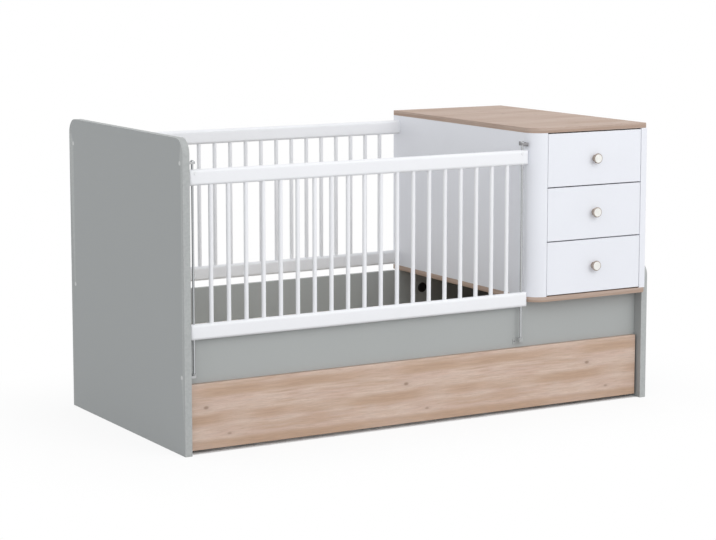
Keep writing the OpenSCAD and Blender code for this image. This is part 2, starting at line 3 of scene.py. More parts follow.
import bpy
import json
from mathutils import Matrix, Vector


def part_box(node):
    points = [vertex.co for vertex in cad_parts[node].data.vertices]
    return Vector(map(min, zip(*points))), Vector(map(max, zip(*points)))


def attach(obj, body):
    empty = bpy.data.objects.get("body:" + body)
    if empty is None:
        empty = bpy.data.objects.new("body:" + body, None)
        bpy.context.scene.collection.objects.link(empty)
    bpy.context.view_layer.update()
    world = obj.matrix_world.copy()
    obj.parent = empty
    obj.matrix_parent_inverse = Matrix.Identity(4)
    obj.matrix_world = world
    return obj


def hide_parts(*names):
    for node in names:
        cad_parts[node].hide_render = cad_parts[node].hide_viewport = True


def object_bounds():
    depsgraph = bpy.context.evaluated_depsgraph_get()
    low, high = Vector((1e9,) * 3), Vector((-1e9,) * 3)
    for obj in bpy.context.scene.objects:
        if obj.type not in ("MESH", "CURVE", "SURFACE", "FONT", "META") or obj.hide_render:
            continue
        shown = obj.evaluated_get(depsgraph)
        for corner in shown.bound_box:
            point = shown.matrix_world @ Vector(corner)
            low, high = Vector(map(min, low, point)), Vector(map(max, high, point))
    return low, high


bl_info = {
    "name": "Crib with Attached Changer",
    "version": (1, 0, 0),
    "blender": (4, 5, 0),
    "location": "View3D > Sidebar > Crib",
    "description": "Boards, rails, fittings and finishes of a crib with a changer chest",
    "category": "Object",
}

import json
import math

import bpy
from mathutils import Vector

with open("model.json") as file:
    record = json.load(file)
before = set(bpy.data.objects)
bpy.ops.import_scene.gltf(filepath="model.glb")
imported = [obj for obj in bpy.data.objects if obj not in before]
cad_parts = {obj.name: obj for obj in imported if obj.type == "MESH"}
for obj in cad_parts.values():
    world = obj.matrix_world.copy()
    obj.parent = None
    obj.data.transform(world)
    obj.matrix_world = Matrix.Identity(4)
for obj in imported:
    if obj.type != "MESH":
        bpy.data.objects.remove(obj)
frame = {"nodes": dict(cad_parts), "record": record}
CAD_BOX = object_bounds()

MM = 0.001
X, Y, Z = 0, 1, 2
UP, OUT = (0, 0, 1), (0, -1, 0)
LEVELS = ("top", "bottom")
DRAWERS = ("drawer_1", "drawer_2", "drawer_3")
WHEELS = ("front_left_wheel", "front_right_wheel", "back_left_wheel", "back_right_wheel")
BED_SLATS = 14


def number(label, text, default, **more):
    return bpy.props.FloatProperty(name=label, description=text, default=default, **more)


def share(label, text, default, largest=1.0):
    return number(label, text, default, min=0.0, max=largest)


def angle(label, text, degrees):
    return number(label, text, math.radians(degrees), subtype="ANGLE", unit="ROTATION")


def length(label, text, millimetres, largest=1.0):
    """A length, its default in millimetres and its largest value in metres."""
    return number(
        label, text, millimetres * MM, min=0.0, max=largest, precision=4, subtype="DISTANCE", unit="LENGTH"
    )


def vector(label, text, default, **more):
    return bpy.props.FloatVectorProperty(name=label, description=text, default=default, size=3, **more)


def place(label, text, default):
    return vector(label, text, default, subtype="TRANSLATION", unit="LENGTH")


def colour(label, text, *shown):
    """A colour given as a screen shows it, 0 to 255, and kept as the linear values that materials use."""
    linear = [((value / 255 + 0.055) / 1.055) ** 2.4 for value in shown]
    return vector(label, text, linear, min=0.0, max=1.0, subtype="COLOR")


class CribSizes(bpy.types.PropertyGroup):
    """Sizes that the finishing adds to the frame's own."""

    board_edge: length("Board edge", "Rounding of the boards' edge bands", 1.2)
    post_edge: length("Post edge", "Rounding of the corner post's edges", 0.3)
    front_edge: length("Drawer front edge", "Rounding of the drawer fronts' edges", 1.6)
    thin_edge: length("Thin board edge", "Rounding of drawer boards and ledgers", 0.8)
    metal_edge: length("Metal edge", "Rounding of thick metal fittings", 0.5)
    sheet_edge: length("Sheet edge", "Rounding of pressed sheet", 0.25)
    rail_round: length("Rail rounding", "Rounding of the rails' long edges", 10)
    rail_plan: length("Rail ends, from above", "Rounding of the drop side's rail ends", 11)
    rail_end: length("Rail ends, from the front", "Rounding of the drop side's rail ends", 5)
    socket: length("Slat socket", "Depth of a slat's socket in its rail", 14)
    slat: length("Slat", "Diameter of a guard slat", 14.5)
    slat_tip: length("Slat tip", "Chamfer on a slat's ends", 1)
    rod: length("Guide rod", "Diameter of a guide rod", 8)
    rod_tip: length("Rod tip", "Chamfer on a guide rod's foot", 1)
    rod_head: length("Rod head", "Diameter of a rod's domed head", 13)
    bush: length("Guide bush", "Outer diameter of a guide bush", 11)
    bush_bore: length("Bush bore", "Bore of a guide bush", 8.6)
    button: length("Release button", "Diameter of a release button", 11)
    button_pocket: length("Button pocket", "Depth of a button's pocket", 5)
    fit: length("Fit", "Gap round a piece that sits in a bore", 0.05)
    angle_sheet: length("Angle sheet", "Thickness of the lower right bracket", 2.5)
    angle_screw: length("Angle screw", "The bracket screws' distance from its ends", 6)
    angle_drop: length("Angle screw height", "The bracket screws' distance below its top", 9)
    knob_cove: length("Knob cove", "Radius of the cove turned in a knob", 8.5)
    knob_cove_rise: length("Knob cove height", "The cove's centre above the knob's foot", 6.5)
    knob_rim: length("Knob rim", "Rounding of a knob's rim", 1.5)
    knob_recess: length("Knob recess", "Depth of the recess for the white face", 3)
    knob_soft: length("Knob face edge", "Rounding of the white face", 0.8)
    bore: length("Wheel bore", "Radius of a wheel's bore", 3.05)
    hub: length("Wheel hub", "Radius of a wheel's hub", 8)
    tread: length("Wheel tread", "Rounding of a wheel's tread", 4)
    dish: length("Wheel dish", "Depth of the dish in a wheel's face", 3)
    bed_slat: length("Bed slat", "Width of a bed slat", 70)
    slat_inset: length("Slat screw inset", "A screw's distance from the slat's end", 10)
    screw: length("Screw head", "Diameter of a wood screw's head", 7)


class CribColours(bpy.types.PropertyGroup):
    """Colours of the finishes."""

    grey_board: colour("Grey board", "Laminate of the side boards", 173, 176, 175)
    # Painted shade: the end panels have the side boards' grey laminate, given a darker copy here so that the
    # left panel looks less lit
    grey_panel: colour("Grey end panel", "Laminate of the end panels", 166, 169, 169)
    grey_band: colour("Grey edge band", "Edge band of the grey boards", 180, 183, 182)
    white_board: colour("White board", "Laminate of the chest and drawers", 234, 236, 242)
    white_band: colour("White edge band", "Edge band of the white boards", 240, 241, 246)
    white_lacquer: colour("White lacquer", "Lacquer of the guards", 240, 241, 244)
    oak_light: colour("Oak, light", "Lightest bands of the oak decor", 212, 191, 177)
    oak_middle: colour("Oak, middle", "Pinkish bands of the oak decor", 202, 176, 162)
    oak_dark: colour("Oak, dark", "Darkest bands of the oak decor", 184, 154, 130)
    oak_knot: colour("Oak knot", "Knots of the oak decor", 146, 123, 108)
    # Painted shade: this share darkens the oak tones of the level boards, so that their tops look less lit
    # than the upright front
    top_shade: share("Top board tone", "Tone of the level oak boards", 0.865)
    band_light: colour("Oak band, light", "Light grain of the oak edge bands", 188, 168, 155)
    band_dark: colour("Oak band, dark", "Dark grain of the oak edge bands", 170, 146, 130)
    pine_light: colour("Pine, light", "Early wood of the pine boards", 238, 233, 223)
    pine_middle: colour("Pine, middle", "Middle tone of the pine boards", 232, 224, 210)
    pine_dark: colour("Pine, dark", "Late wood of the pine boards", 212, 197, 175)
    pine_knot: colour("Pine knot", "Knots of the pine boards", 132, 96, 66)
    knob_wood: colour("Knob wood", "Wood of the knobs' turned bodies", 180, 168, 159)
    knob_dark: colour("Knob wood, dark", "Dark grain of the knobs' bodies", 150, 137, 127)
    knob_face: colour("Knob face", "Faces let into the knobs", 240, 239, 234)
    zinc: colour("Zinc", "Zinc on brackets, runners, forks and screws", 182, 183, 184)
    dark_steel: colour("Dark steel", "Upper right bracket and the lower one's screws", 152, 151, 153)
    rod_steel: colour("Rod steel", "Polished guide rods", 186, 188, 190)
    nylon: colour("Nylon", "Bushes and release buttons", 238, 239, 241)
    rubber: colour("Rubber", "Bumpers at the feet of the rods", 176, 178, 178)
    cap_plastic: colour("Screw caps", "Caps on the tall end panel", 199, 201, 200)
    black_plastic: colour("Black plastic", "Wheels and the cover cap", 28, 28, 29)


class CribStudio(bpy.types.PropertyGroup):
    """Camera, lamps and floor."""

    camera_place: place("Camera place", "Where the camera stands", (-3.8923, -6.6475, 1.6653))
    camera_turn: angle("Camera turn", "Turn to the right of the Y axis", 30.171)
    camera_tilt: angle("Camera tilt", "Tilt below the horizon", 7.595)
    lens: number("Lens", "Focal length in millimetres", 109.08, min=1.0)
    shift: number("Shift", "Vertical shift of the frame", -0.06)
    room_light: share("Room light", "Strength of the soft light from all round", 1.36, 5.0)
    overhead: share("Overhead", "Share of the soft light from above", 0.48, 2.0)
    lamp_light: share("Lamp", "Power of the lamp at the front right, in watts", 74.0, 5000.0)
    lamp_size: length("Lamp size", "Side of the square lamp", 3600, 20.0)
    lamp_place: place("Lamp place", "Where the lamp stands", (1.4, -4.8, 3.4))
    lamp_aim: place("Lamp aim", "Point that the lamp faces", (0.0, 0.0, 0.5))
    floor: share("Floor", "Tone of the floor as it looks", 0.97)
    floor_bounce: share("Floor bounce", "Tone of the floor as it lights the object", 0.54)
    floor_white: share("Floor white", "How much the object's shadow is lifted beside it", 0.86)
    floor_inset: length("Floor inset", "How far it is lifted under the front and back", 55)
    floor_fade: length("Floor fade", "Distance at which the floor is all white", 700, 50.0)


# ---- Selecting and editing ----

def deselect_all():
    bpy.ops.object.select_all(action="DESELECT")


def take(piece):
    """Makes the piece the only selected one."""
    deselect_all()
    piece.select_set(True)
    bpy.context.view_layer.objects.active = piece
    return piece


def discard(piece):
    take(piece)
    bpy.ops.object.delete()


def open_whole(piece):
    """Opens the piece in edit mode with all of it selected."""
    take(piece)
    bpy.ops.object.mode_set(mode="EDIT")
    bpy.ops.mesh.select_all(action="SELECT")


def close():
    bpy.ops.object.mode_set(mode="OBJECT")


def settle(piece):
    """Puts the piece's place, turn and scale into its mesh."""
    take(piece)
    bpy.ops.object.transform_apply(location=True, rotation=True, scale=True)
    return piece


def settled_primitive(name):
    """Names the primitive that was just added, and settles it."""
    bpy.context.object.name = name
    return settle(bpy.context.object)


def add(name, data):
    """Adds an object to the scene, at its origin."""
    item = bpy.data.objects.new(name, data)
    bpy.context.scene.collection.objects.link(item)
    return item


def new_piece(name, points, edges=(), faces=()):
    mesh = bpy.data.meshes.new(name)
    mesh.from_pydata(points, edges, faces)
    return add(name, mesh)


def use(piece, kind, **settings):
    """Adds a modifier with its settings and applies it."""
    take(piece)
    modifier = piece.modifiers.new(kind.lower(), kind)
    for key, value in settings.items():
        setattr(modifier, key, value)
    bpy.ops.object.modifier_apply(modifier=modifier.name)
    return piece


def smooth(piece, angle=35.0):
    """Shades smooth below the angle, with broad faces kept flat."""
    take(piece)
    bpy.ops.object.shade_smooth_by_angle(angle=math.radians(angle))
    return use(piece, "WEIGHTED_NORMAL", mode="FACE_AREA", keep_sharp=True)


def round_edges(piece, width, steps):
    """Rounds every edge that is sharper than 40 degrees."""
    return use(
        piece, "BEVEL", width=width, segments=steps, limit_method="ANGLE", angle_limit=math.radians(40),
        miter_outer="MITER_ARC",
    )


def mark_edges(piece, widest, banded=0.0):
    """Marks the points on the rounded edges and on faces narrower than banded."""
    mesh = piece.data
    broad = [False] * len(mesh.vertices)
    for face in mesh.polygons:
        sides = sorted((mesh.vertices[a].co - mesh.vertices[b].co).length for a, b in face.edge_keys)
        if face.area > banded * sides[-1] and (sides[0] > widest or face.area > widest * 4 * sides[-1]):
            for i in face.vertices:
                broad[i] = True
    mark = mesh.attributes.new("edge", "FLOAT", "POINT")
    mark.data.foreach_set("value", [0.0 if wide else 1.0 for wide in broad])
    return piece


def join(name, parts):
    """Joins the parts into one piece."""
    deselect_all()
    for part in parts:
        part.select_set(True)
    bpy.context.view_layer.objects.active = parts[0]
    if len(parts) > 1:
        bpy.ops.object.join()
    parts[0].name = name
    return settle(parts[0])


def repeat(name, part, steps):
    """Copies a part to each step from its own place, and joins the copies."""
    made = []
    for step in steps:
        copy = take(add(name, part.data.copy()))
        bpy.ops.transform.translate(value=step)
        made.append(settle(copy))
    discard(part)
    return join(name, made)


def block(name, low, high):
    """A block between two corners, its place in its mesh."""
    deselect_all()
    low, high = Vector(low), Vector(high)
    bpy.ops.mesh.primitive_cube_add(size=1.0, location=(low + high) / 2, scale=high - low)
    return settled_primitive(name)


def rounded_block(name, low, high, axis, radius):
    """A block whose four edges along one axis are rounded."""
    piece = block(name, low, high)
    open_whole(piece)
    bpy.ops.mesh.select_mode(type="EDGE")
    bpy.ops.mesh.select_all(action="DESELECT")
    close()
    points = piece.data.vertices
    for edge in piece.data.edges:
        way = points[edge.vertices[1]].co - points[edge.vertices[0]].co
        edge.select = abs(way[axis]) > 0.9 * way.length
    bpy.ops.object.mode_set(mode="EDIT")
    bpy.ops.mesh.bevel(offset=radius, segments=8, affect="EDGES")
    close()
    return piece


def arc(middle, height, radius, start, end, steps):
    """Points (radius, height) of a profile along an arc, its angles in degrees from straight outwards."""
    turns = [math.radians(start + (end - start) * i / steps) for i in range(steps + 1)]
    return [(middle + radius * math.cos(turn), height + radius * math.sin(turn)) for turn in turns]


def turned(name, profile, foot, way, steps=48):
    """A piece turned on a lathe: profile is (radius, height) along the way from its foot."""
    edges = [(i, i + 1) for i in range(len(profile) - 1)]
    piece = new_piece(name, [(r, 0.0, h) for r, h in profile], edges)
    open_whole(piece)
    bpy.ops.mesh.spin(steps=steps, angle=math.tau, center=(0, 0, 0), axis=UP)
    bpy.ops.mesh.select_all(action="SELECT")
    bpy.ops.mesh.remove_doubles(threshold=1e-6)
    bpy.ops.mesh.normals_make_consistent(inside=False)
    close()
    piece.rotation_euler = Vector(way).to_track_quat("Z", "Y").to_euler()
    piece.location = foot
    return smooth(settle(piece), 40)


def carve(piece, other, operation="DIFFERENCE"):
    """Cuts the piece with another one, which is used up."""
    use(piece, "BOOLEAN", operation=operation, solver="EXACT", object=other)
    discard(other)
    return take(piece)


def drill(piece, holes):
    """Cuts round holes, each given by its start, end and radius."""
    drills = []
    for start, end, radius in holes:
        deselect_all()
        start, end = Vector(start), Vector(end)
        way = end - start
        bpy.ops.mesh.primitive_cylinder_add(
            vertices=40, radius=radius, depth=way.length, location=(start + end) / 2,
            rotation=way.to_track_quat("Z", "Y").to_euler(),
        )
        drills.append(settled_primitive("drill"))
    return carve(piece, join("drill", drills))


def copy_of(node, name):
    """A copy of a frame part with its loose triangles joined into whole faces."""
    piece = add(name, frame["nodes"][node].data.copy())
    piece.data.materials.clear()
    open_whole(piece)
    bpy.ops.mesh.remove_doubles(threshold=1e-5)
    bpy.ops.mesh.customdata_custom_splitnormals_clear()
    bpy.ops.mesh.dissolve_limited(angle_limit=math.radians(0.5))
    close()
    return piece


def paint(part, material):
    part.data.materials.clear()
    part.data.materials.append(finish(material))
    return part


def dress(piece, material, node=None, body=None):
    """Gives the piece its finish, and the frame part that it stands for with that part's body."""
    paint(piece, material)
    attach(piece, body or body_of(node))
    if node:
        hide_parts(node)
    return piece


def board_from(node, name, edge, material, slot, steps=3, banded=0.0):
    """A board of the frame with rounded, banded edges."""
    piece = mark_edges(round_edges(copy_of(node, name), edge, steps), edge, banded)
    return dress(smooth(piece), material, node)


def band(piece, broad, along, across):
    """Gives a board's narrow faces their edge bands, whose grain runs along them."""
    for material in (along, across):
        piece.data.materials.append(finish(material))
    for face in piece.data.polygons:
        if abs(face.normal[broad]) < 0.5:
            face.material_index = 2 if abs(face.normal[X]) > 0.7 else 1
    return piece


def pressed_from(node, name, edge, material):
    """A metal part of the frame with softened edges."""
    piece = smooth(round_edges(copy_of(node, name), edge, 2), 30)
    return dress(piece, material, node)


def body_of(node):
    for body, members in frame["record"]["behaviour"]["bodies"].items():
        if node in members:
            return body
    raise ValueError("no body holds " + node)


# ---- Building blocks of the finishes ----

def put(kind, inputs=(), tree=None, **settings):
    """Adds a node to the tree, or to the one its sockets are in. An input is a socket or a value."""
    inputs = dict(inputs)
    sockets = [value for value in inputs.values() if isinstance(value, bpy.types.NodeSocket)]
    node = (tree or sockets[0].id_data).nodes.new("ShaderNode" + kind)
    for key, value in settings.items():
        setattr(node, key, value)
    for key, value in inputs.items():
        if isinstance(value, bpy.types.NodeSocket):
            value.id_data.links.new(value, node.inputs[key])
        else:
            node.inputs[key].default_value = value
    return node


def calc(operation, *values):
    return put("Math", enumerate(values), operation=operation).outputs[0]


def total(first, *others):
    for other in others:
        first = calc("ADD", first, other)
    return first


def times(first, *others):
    for other in others:
        first = calc("MULTIPLY", first, other)
    return first


def distance(a, b):
    return calc("SQRT", total(times(a, a), times(b, b)))


def swing(value, amount):
    """A noise value of 0 to 1 as a swing of the amount round 0."""
    return times(calc("SUBTRACT", value, 0.5), amount)


def ranged(value, low, high, to_low=0.0, to_high=1.0, kind="LINEAR"):
    limits = {"From Min": low, "From Max": high, "To Min": to_low, "To Max": to_high}
    return put("MapRange", {"Value": value, **limits}, interpolation_type=kind).outputs[0]


def blend(factor, a, b, kind="MIX"):
    return put("Mix", {0: factor, 6: a, 7: b}, data_type="RGBA", blend_type=kind).outputs[2]


def shaded(skin, light):
    """The colour made lighter or darker by a value round 1."""
    grey = put("CombineXYZ", {"X": light, "Y": light, "Z": light}).outputs[0]
    return blend(1.0, skin, grey, "MULTIPLY")


def noise(vector, scale, detail=2.0, roughness=0.5):
    values = {"Vector": vector, "Scale": scale, "Detail": detail, "Roughness": roughness}
    return put("TexNoise", values).outputs["Fac"]


def place_of(tree, source="Object"):
    return put("TexCoord", tree=tree).outputs[source]


def parts_of(vector):
    return put("SeparateXYZ", {0: vector}).outputs


def new_group(name, inputs):
    """A node group with named inputs, which puts out a colour, a height and a roughness."""
    group = bpy.data.node_groups.new(name, "ShaderNodeTree")
    group.interface.new_socket(name="Vector", in_out="INPUT", socket_type="NodeSocketVector")
    for label, default in inputs.items():
        kind = "NodeSocketFloat" if isinstance(default, float) else "NodeSocketColor"
        group.interface.new_socket(name=label, in_out="INPUT", socket_type=kind).default_value = default
    for label, kind in (("Color", "Color"), ("Height", "Float"), ("Roughness", "Float")):
        group.interface.new_socket(name=label, in_out="OUTPUT", socket_type="NodeSocket" + kind)
    return group.nodes.new("NodeGroupInput").outputs


def close_group(skin, height, roughness):
    group = skin.id_data
    leave = group.nodes.new("NodeGroupOutput").inputs
    for label, socket in (("Color", skin), ("Height", height), ("Roughness", roughness)):
        group.links.new(socket, leave[label])
    return tidy_nodes(group)


def once(make):
    """Builds a node group on its first use, and gives the same one after that."""
    name = make.__name__.replace("_", " ")
    return lambda: bpy.data.node_groups.get(name) or make(name)


def tidy_nodes(tree):
    """Sets the nodes out in columns, each node to the right of those that feed it."""
    columns = {node.name: 0 for node in tree.nodes}
    links = [(link.from_node.name, link.to_node.name) for link in tree.links]
    for _ in columns:
        for source, target in links:
            columns[target] = max(columns[target], columns[source] + 1)
    rows = {}
    for name, column in columns.items():
        rows[column] = rows.get(column, 0) + 1
        tree.nodes[name].location = (column * 220, -rows[column] * 260)
    return tree


WHITE = (1.0, 1.0, 1.0, 1.0)


def open_tree(owner):
    """The emptied node tree of a new material or world."""
    owner.use_nodes = True
    owner.node_tree.nodes.clear()
    return owner.node_tree


def seen_directly(tree):
    """1 where a ray comes from the camera, or by way of a gloss or glass."""
    seen = put("LightPath", tree=tree).outputs
    through = calc("MAXIMUM", seen["Is Glossy Ray"], seen["Is Transmission Ray"])
    return calc("MAXIMUM", seen["Is Camera Ray"], through)


# The print's knots: place along and across the board, size and strength
KNOTS = ((-0.0816, 0.0602, 1.0, 1.0), (0.0028, -0.0336, 0.85, 0.65))
KNOT_LONG, KNOT_TALL = 0.0098, 0.0055
SHEET_WIDTH = 0.47


@once
def wood_figure(name):
    """Wood with its grain along X. The figure repeats along the board, as a printed decor does."""
    entry = new_group(name, {
        "Light": WHITE, "Middle": WHITE, "Dark": WHITE, "Knot": WHITE, "Repeat": 0.762,
        "Band Pitch": 0.0885, "Bands": 1.0, "Knot Size": 1.0, "Streaks": 1.0,
    })
    spot = parts_of(entry["Vector"])
    along = spot["X"]
    across = total(spot["Y"], spot["Z"])
    # The knots, and how far they push the grain aside
    half = times(entry["Repeat"], 0.5)
    knot, bend = 0.0, 0.0
    for x, y, size, strength in KNOTS:
        dx = calc("WRAP", calc("SUBTRACT", along, x), half, times(half, -1.0))
        dy = calc("WRAP", calc("SUBTRACT", across, y), SHEET_WIDTH / 2, -SHEET_WIDTH / 2)
        reach = distance(calc("DIVIDE", dx, KNOT_LONG * size), calc("DIVIDE", dy, KNOT_TALL * size))
        reach = calc("DIVIDE", reach, calc("MAXIMUM", entry["Knot Size"], 0.01))
        core = ranged(reach, 1.5, 0.3, kind="SMOOTHSTEP")
        halo = times(ranged(reach, 3.5, 0.8, kind="SMOOTHSTEP"), 0.15)
        push = times(dy, -0.3, ranged(reach, 5.0, 1.0, kind="SMOOTHSTEP"))
        knot = calc("MAXIMUM", knot, times(calc("MAXIMUM", core, halo), strength))
        bend = total(bend, push)
    # Along the board every layer runs once round a ring, so that it meets itself at the repeat
    turn = times(calc("DIVIDE", along, entry["Repeat"]), math.tau)
    ring_x, ring_y = calc("COSINE", turn), calc("SINE", turn)

    def layer(ring, fine, line, detail=2.0, roughness=0.5):
        """Noise that is drawn out along the grain: ring is its scale along it, and fine across it."""
        spot = {"X": times(ring_x, ring), "Y": times(ring_y, ring), "Z": times(line, fine)}
        return noise(put("CombineXYZ", spot).outputs[0], 1.0, detail, roughness)

    line = total(across, swing(layer(0.5, 5.0, across), 0.016), bend)
    wave = calc("SINE", times(calc("DIVIDE", line, entry["Band Pitch"]), math.tau))
    patch = ranged(layer(0.42, 9.0, line, 1.0), 0.3, 0.62, 0.45, 1.0, "SMOOTHSTEP")
    bands = times(ranged(wave, -0.35, 0.95, kind="SMOOTHSTEP"), patch, 0.85)
    lines = ranged(layer(0.6, 66.0, line), 0.42, 0.7, 0.0, 0.55, "SMOOTHSTEP")
    bands = times(calc("MAXIMUM", bands, lines), entry["Bands"])
    tone = ranged(layer(0.8, 30.0, line), 0.35, 0.65, kind="SMOOTHSTEP")
    streaks = layer(1.1, 140.0, line, 3.0, 0.6)
    fibres = layer(2.2, 620.0, line, 3.0, 0.6)
    strokes = times(ranged(layer(1.2, 440.0, line), 0.53, 0.63), 0.45)
    pores = times(ranged(layer(7.0, 1300.0, line, 1.0), 0.58, 0.72), 0.45)
    skin = blend(times(tone, 0.7), entry["Light"], entry["Middle"])
    skin = blend(calc("MAXIMUM", bands, strokes), skin, entry["Dark"])
    light = total(swing(streaks, 0.3), swing(fibres, 0.42))
    skin = shaded(skin, total(1.0, times(light, entry["Streaks"])))
    skin = blend(times(knot, 0.85), skin, entry["Knot"])
    skin = blend(pores, skin, entry["Dark"])
    height = calc("SUBTRACT", times(fibres, 0.4), pores)
    return close_group(skin, height, ranged(streaks, 0.2, 0.8, 0.58, 0.7))


@once
def pearl_skin(name):
    """Laminate or lacquer: fine pearls, a slight cloudiness, and lighter, smoother edges."""
    entry = new_group(name, {
        "Colour": WHITE, "Edge Colour": WHITE, "Edge": 0.0, "Pearl Scale": 900.0, "Gloss": 0.4,
    })
    pearls = noise(entry["Vector"], entry["Pearl Scale"], 2.0, 0.6)
    clouds = noise(entry["Vector"], 3.2, 3.0, 0.55)
    specks = noise(entry["Vector"], 130.0)
    light = total(1.0, swing(clouds, 0.06), swing(specks, 0.02), swing(pearls, 0.02))
    rubbed = times(entry["Edge"], ranged(specks, 0.35, 0.6, 0.55, 1.0))
    skin = shaded(blend(rubbed, entry["Colour"], entry["Edge Colour"]), light)
    sheen = total(entry["Gloss"], swing(clouds, 0.16), times(rubbed, -0.07))
    return close_group(skin, pearls, sheen)


@once
def drawn_metal(name):
    """Drawn or rolled steel under thin zinc: fine lines along X and a mottled plating."""
    entry = new_group(name, {"Colour": WHITE, "Gloss": 0.3})
    drawn_out = {0: entry["Vector"], 1: (12.0, 1100.0, 1100.0)}
    lines = noise(put("VectorMath", drawn_out, operation="MULTIPLY").outputs[0], 1.0)
    mottle = noise(entry["Vector"], 90.0, 3.0, 0.6)
    light = total(1.0, swing(mottle, 0.12), swing(lines, 0.12))
    sheen = total(entry["Gloss"], swing(mottle, 0.25))
    return close_group(shaded(entry["Colour"], light), lines, sheen)


@once
def moulded_skin(name):
    """Moulded plastic: spark-eroded grain and slight flow marks."""
    entry = new_group(name, {"Colour": WHITE, "Grain Scale": 1500.0, "Gloss": 0.45})
    grain = noise(entry["Vector"], entry["Grain Scale"], 2.0, 0.6)
    flow = noise(entry["Vector"], 60.0)
    skin = shaded(entry["Colour"], ranged(flow, 0.2, 0.8, 0.95, 1.05))
    sheen = total(entry["Gloss"], swing(flow, 0.15))
    return close_group(skin, grain, sheen)


MATT = 0.35
NONE = (0, 0, 0)


def start_finish(name, group, values, bump, depth, turn=NONE, move=NONE, edge=False, around=False, **shader):
    """A material from one group, on the piece's own coordinates. With around, X runs round a board's edge."""
    material = bpy.data.materials.new(name)
    tree = open_tree(material)
    turn = [math.radians(degrees) for degrees in turn]
    spot = put("Mapping", {"Vector": place_of(tree), "Rotation": turn, "Location": move}).outputs[0]
    if around:
        spot = put("VectorMath", {0: spot, 1: (1.0, 0.0, 1.0)}, operation="MULTIPLY").outputs[0]
    inputs = {"Vector": spot}
    for label, value in values.items():
        inputs[label] = value if isinstance(value, float) else (*value, 1.0)
    if edge:
        inputs["Edge"] = put("Attribute", tree=tree, attribute_name="edge").outputs["Fac"]
    skin = put("Group", inputs, node_tree=group).outputs
    relief = put("Bump", {"Strength": bump, "Distance": depth, "Height": skin["Height"]}).outputs[0]
    surface = put("BsdfPrincipled", {
        "Base Color": skin["Color"], "Roughness": skin["Roughness"], "Normal": relief,
        **{key.replace("_", " "): value for key, value in shader.items()},
    })
    put("OutputMaterial", {"Surface": surface.outputs[0]})
    tidy_nodes(tree)
    return material


def board_finish(name, skin, band, gloss, pearl=900.0, bump=0.1, shine=0.5):
    values = {"Colour": skin, "Edge Colour": band, "Pearl Scale": pearl, "Gloss": gloss}
    return start_finish(name, pearl_skin(), values, bump, 0.2 * MM, edge=True, Specular_IOR_Level=shine)


def wood_finish(name, tones, values, turn=NONE, move=NONE, bump=0.18, around=False):
    values = {**dict(zip(("Light", "Middle", "Dark", "Knot"), tones)), **values}
    return start_finish(
        name, wood_figure(), values, bump, 0.2 * MM, turn, move, around=around, Specular_IOR_Level=MATT
    )


def metal_finish(name, tone, gloss, turn=NONE):
    values = {"Colour": tone, "Gloss": gloss}
    return start_finish(name, drawn_metal(), values, 0.12, 0.1 * MM, turn, Metallic=1.0)


def plastic_finish(name, tone, gloss, grain=1500.0, coat=0.0):
    values = {"Colour": tone, "Gloss": gloss, "Grain Scale": grain}
    return start_finish(name, moulded_skin(), values, 0.1, 0.1 * MM, Coat_Weight=coat)


def finish(name):
    """The named finish, made on its first use from the values that its kind takes."""
    if name in bpy.data.materials:
        return bpy.data.materials[name]
    c = bpy.context.scene.crib_colours
    grey = (c.grey_band, 0.62, 900.0, 0.1, 0.25)
    boards = {
        "grey laminate": (c.grey_board, *grey),
        # The end panels' copy of the grey laminate, darkened as painted shade
        "end panel laminate": (c.grey_panel, *grey),
        "white laminate": (c.white_board, c.white_band, 0.5),
        "white lacquer": (c.white_lacquer, c.white_lacquer, 0.46, 420.0, 0.16),
    }
    oak = (c.oak_light, c.oak_middle, c.oak_dark, c.oak_knot)
    # The level boards' oak tones, darkened by the share above as painted shade on their tops
    level_oak_painted_shade = [[value * c.top_shade for value in tone] for tone in oak]
    oak_band = (c.band_light, c.band_light, c.band_dark, c.band_dark)
    pine = (c.pine_light, c.pine_middle, c.pine_dark, c.pine_knot)
    knob = (c.knob_wood, c.knob_wood, c.knob_dark, c.knob_dark)
    calm = {"Bands": 0.55, "Streaks": 0.45, "Band Pitch": 0.24}
    plain = {"Knot Size": 0.0, "Band Pitch": 0.023}
    planed = {"Knot Size": 1.3, "Streaks": 1.2, "Repeat": 1.31, "Band Pitch": 0.047}
    fine = {"Knot Size": 0.0, "Streaks": 1.6, "Repeat": 0.2, "Band Pitch": 0.011}
    woods = {
        "oak decor": (oak, {}, NONE, (0.0, 0.331, 0.0)),
        # The level boards: a calmer oak figure in the darkened tones, which are painted shade
        "calm oak decor": (level_oak_painted_shade, calm, NONE, (0.0, 0.331, 0.0)),
        "oak band along": (oak_band, plain),
        "oak band upright": (oak_band, plain, (0, 90, 0)),
        "oak band around": (oak_band, plain, (0, 0, 45), NONE, 0.18, True),
        "pine along": (pine, planed, NONE, (0.31, 0.2, 0.0), 0.3),
        "pine across": (pine, planed, (0, 0, 90), (0.17, 0.05, 0.0), 0.3),
        "knob wood": (knob, fine, (0, 0, 90), NONE, 0.25),
    }
    metals = {
        "zinc": (c.zinc, 0.42),
        "dark steel": (c.dark_steel, 0.5),
        "rod steel": (c.rod_steel, 0.2, (0, 90, 0)),
    }
    plastics = {
        "grey powder coat": (c.grey_board, 0.5, 700.0),
        "nylon": (c.nylon, 0.42),
        "grey rubber": (c.rubber, 0.6, 900.0),
        "cap plastic": (c.cap_plastic, 0.38),
        "knob face": (c.knob_face, 0.26, 400.0, 0.3),
        "black plastic": (c.black_plastic, 0.42),
    }
    makers = {board_finish: boards, wood_finish: woods, metal_finish: metals, plastic_finish: plastics}
    make = next(make for make, recipes in makers.items() if name in recipes)
    return make(name, *makers[make][name])


# ---- Measures taken from the frame ----

def sizes():
    return bpy.context.scene.crib_sizes


